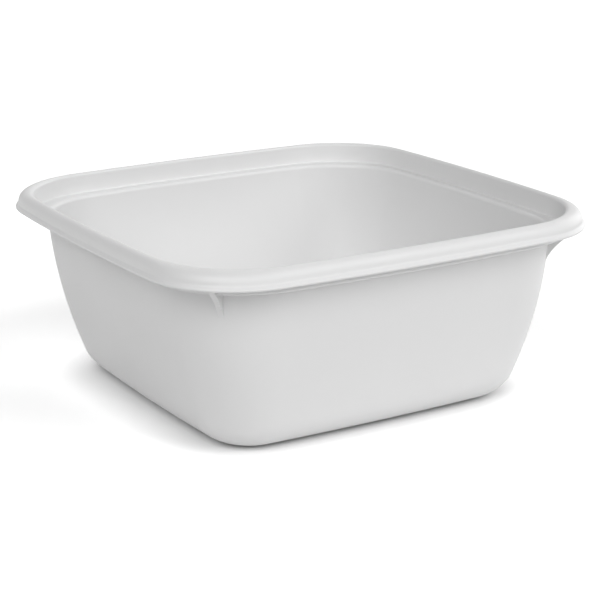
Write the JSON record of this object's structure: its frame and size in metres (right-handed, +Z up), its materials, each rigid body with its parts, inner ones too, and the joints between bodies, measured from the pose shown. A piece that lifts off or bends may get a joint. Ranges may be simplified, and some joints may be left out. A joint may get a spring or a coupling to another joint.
{
  "type": "plastic basin",
  "caption": "Square moulded plastic washing-up basin with tapered walls, a flat base and a rolled, skirted rim to lift it by.",
  "frame": {"origin": "centre of the flat base, on the surface that the basin stands on", "axes": "+Z up through the open mouth, X and Y square to the two pairs of sides"},
  "size_m": [0.32, 0.32, 0.1303],
  "materials": {
    "white_plastic": "satin moulded white polypropylene"
  },
  "bodies": {
    "root": {"basin_shell": "white_plastic"}
  },
  "joints": []
}
